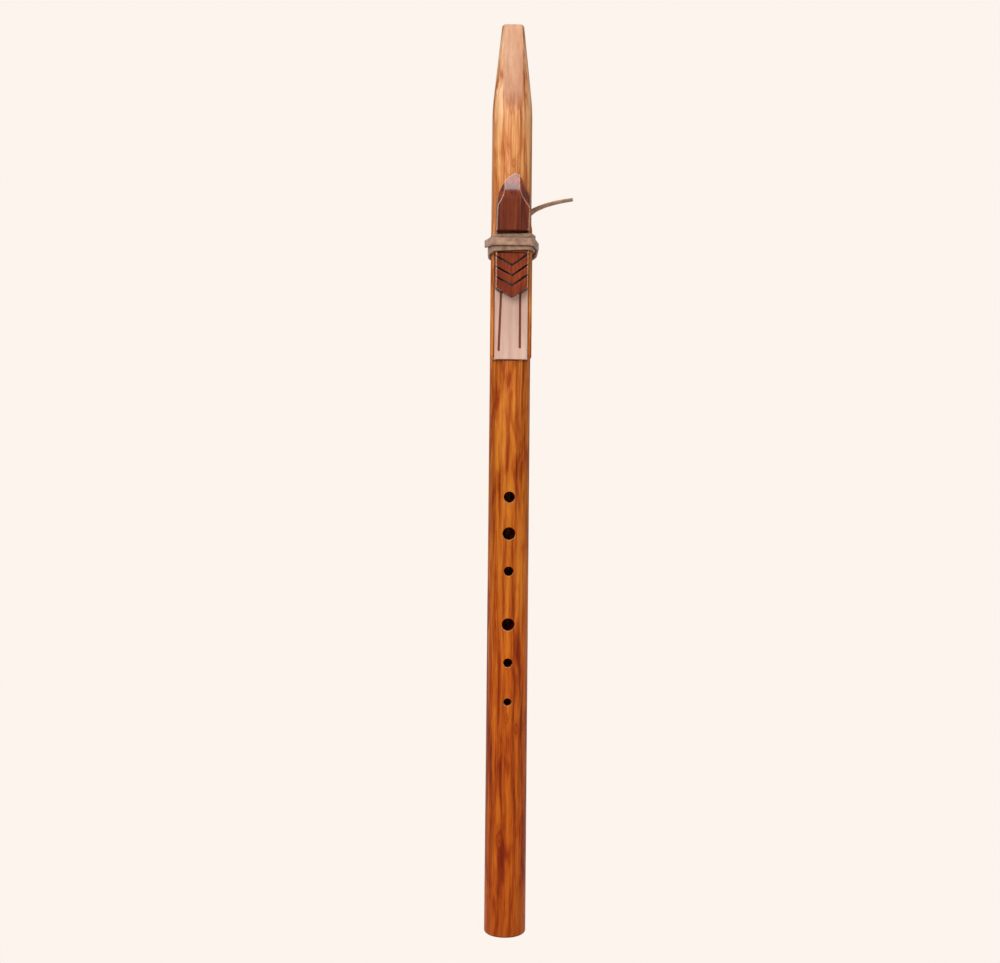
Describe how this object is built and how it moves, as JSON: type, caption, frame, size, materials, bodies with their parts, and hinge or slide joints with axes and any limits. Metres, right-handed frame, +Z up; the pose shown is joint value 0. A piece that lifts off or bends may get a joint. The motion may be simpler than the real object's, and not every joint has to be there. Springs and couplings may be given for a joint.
{
  "type": "native american flute",
  "caption": "Upright end-blown wooden flute with finger holes, a two-chamber bore, a nest plate with its flue, and a chevroned block tied on by a leather lace.",
  "frame": {"origin": "centre of the foot end's flat face, which the flute stands on", "axes": "+Z up the bore from the foot to the mouthpiece, -Y towards the finger holes and the block, +X to the right of someone who looks at the holes with the mouthpiece up"},
  "size_m": [0.0634, 0.0555, 0.64],
  "materials": {
    "body_wood": "reddish-brown softwood, gloss lacquer",
    "plug_wood": "bare wood",
    "nest_wood": "pinkish-tan wood, gloss lacquer",
    "block_wood": "dark red-brown wood, gloss lacquer",
    "lace_leather": "greige suede lace"
  },
  "bodies": {
    "flute_body": {"body_front_half": "body_wood", "body_back_half": "body_wood", "bore_plug": "plug_wood", "nest_plate": "nest_wood"},
    "tied_block": {"block": "block_wood", "lace_winding": "lace_leather", "lace_knot": "lace_leather", "lace_end_right": "lace_leather", "lace_end_left": "lace_leather"}
  },
  "joints": [
    {"name": "block_slide", "type": "slide", "parent": "flute_body", "child": "tied_block", "axis": [0, 0, 1], "range_m": [-0.003, 0.003]}
  ]
}
